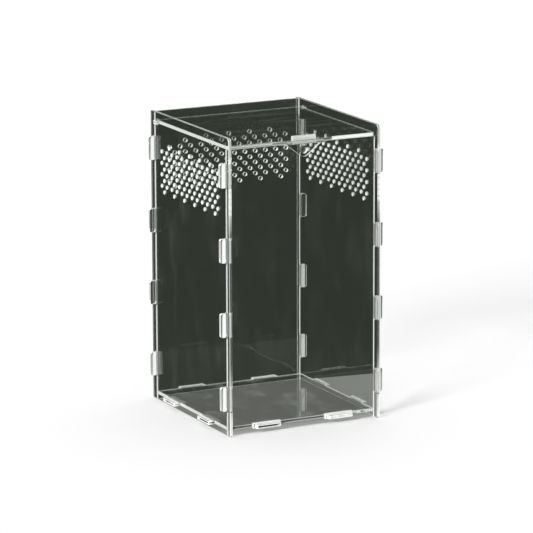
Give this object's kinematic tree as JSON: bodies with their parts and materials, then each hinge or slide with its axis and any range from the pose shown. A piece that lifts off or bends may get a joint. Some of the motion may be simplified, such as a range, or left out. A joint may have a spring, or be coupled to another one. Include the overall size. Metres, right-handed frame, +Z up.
{
  "type": "insect cage",
  "caption": "Tall clear acrylic insect cage: slotted sheet panels joined by tabs, rows of air holes near the top, a hinged lid and a hasp plate for a lock.",
  "frame": {"origin": "middle of the footprint, on the surface that the cage stands on", "axes": "+Z up; the front wall with the lock plate faces -Y; +X is to the right as seen from the front"},
  "size_m": [0.1074, 0.1077, 0.1786],
  "materials": {
    "clear_sheet": "polished"
  },
  "bodies": {
    "body": {"left_wall": "clear_sheet", "right_wall": "clear_sheet", "front_wall": "clear_sheet", "back_wall": "clear_sheet", "floor": "clear_sheet"},
    "lid": {"lid": "clear_sheet", "lock_plate": "clear_sheet"}
  },
  "joints": [
    {"name": "lid_hinge", "type": "hinge", "parent": "body", "child": "lid", "pos_m": [0, 0.0448, 0.1727], "axis": [-1, 0, 0], "range_deg": [0, 109]}
  ]
}
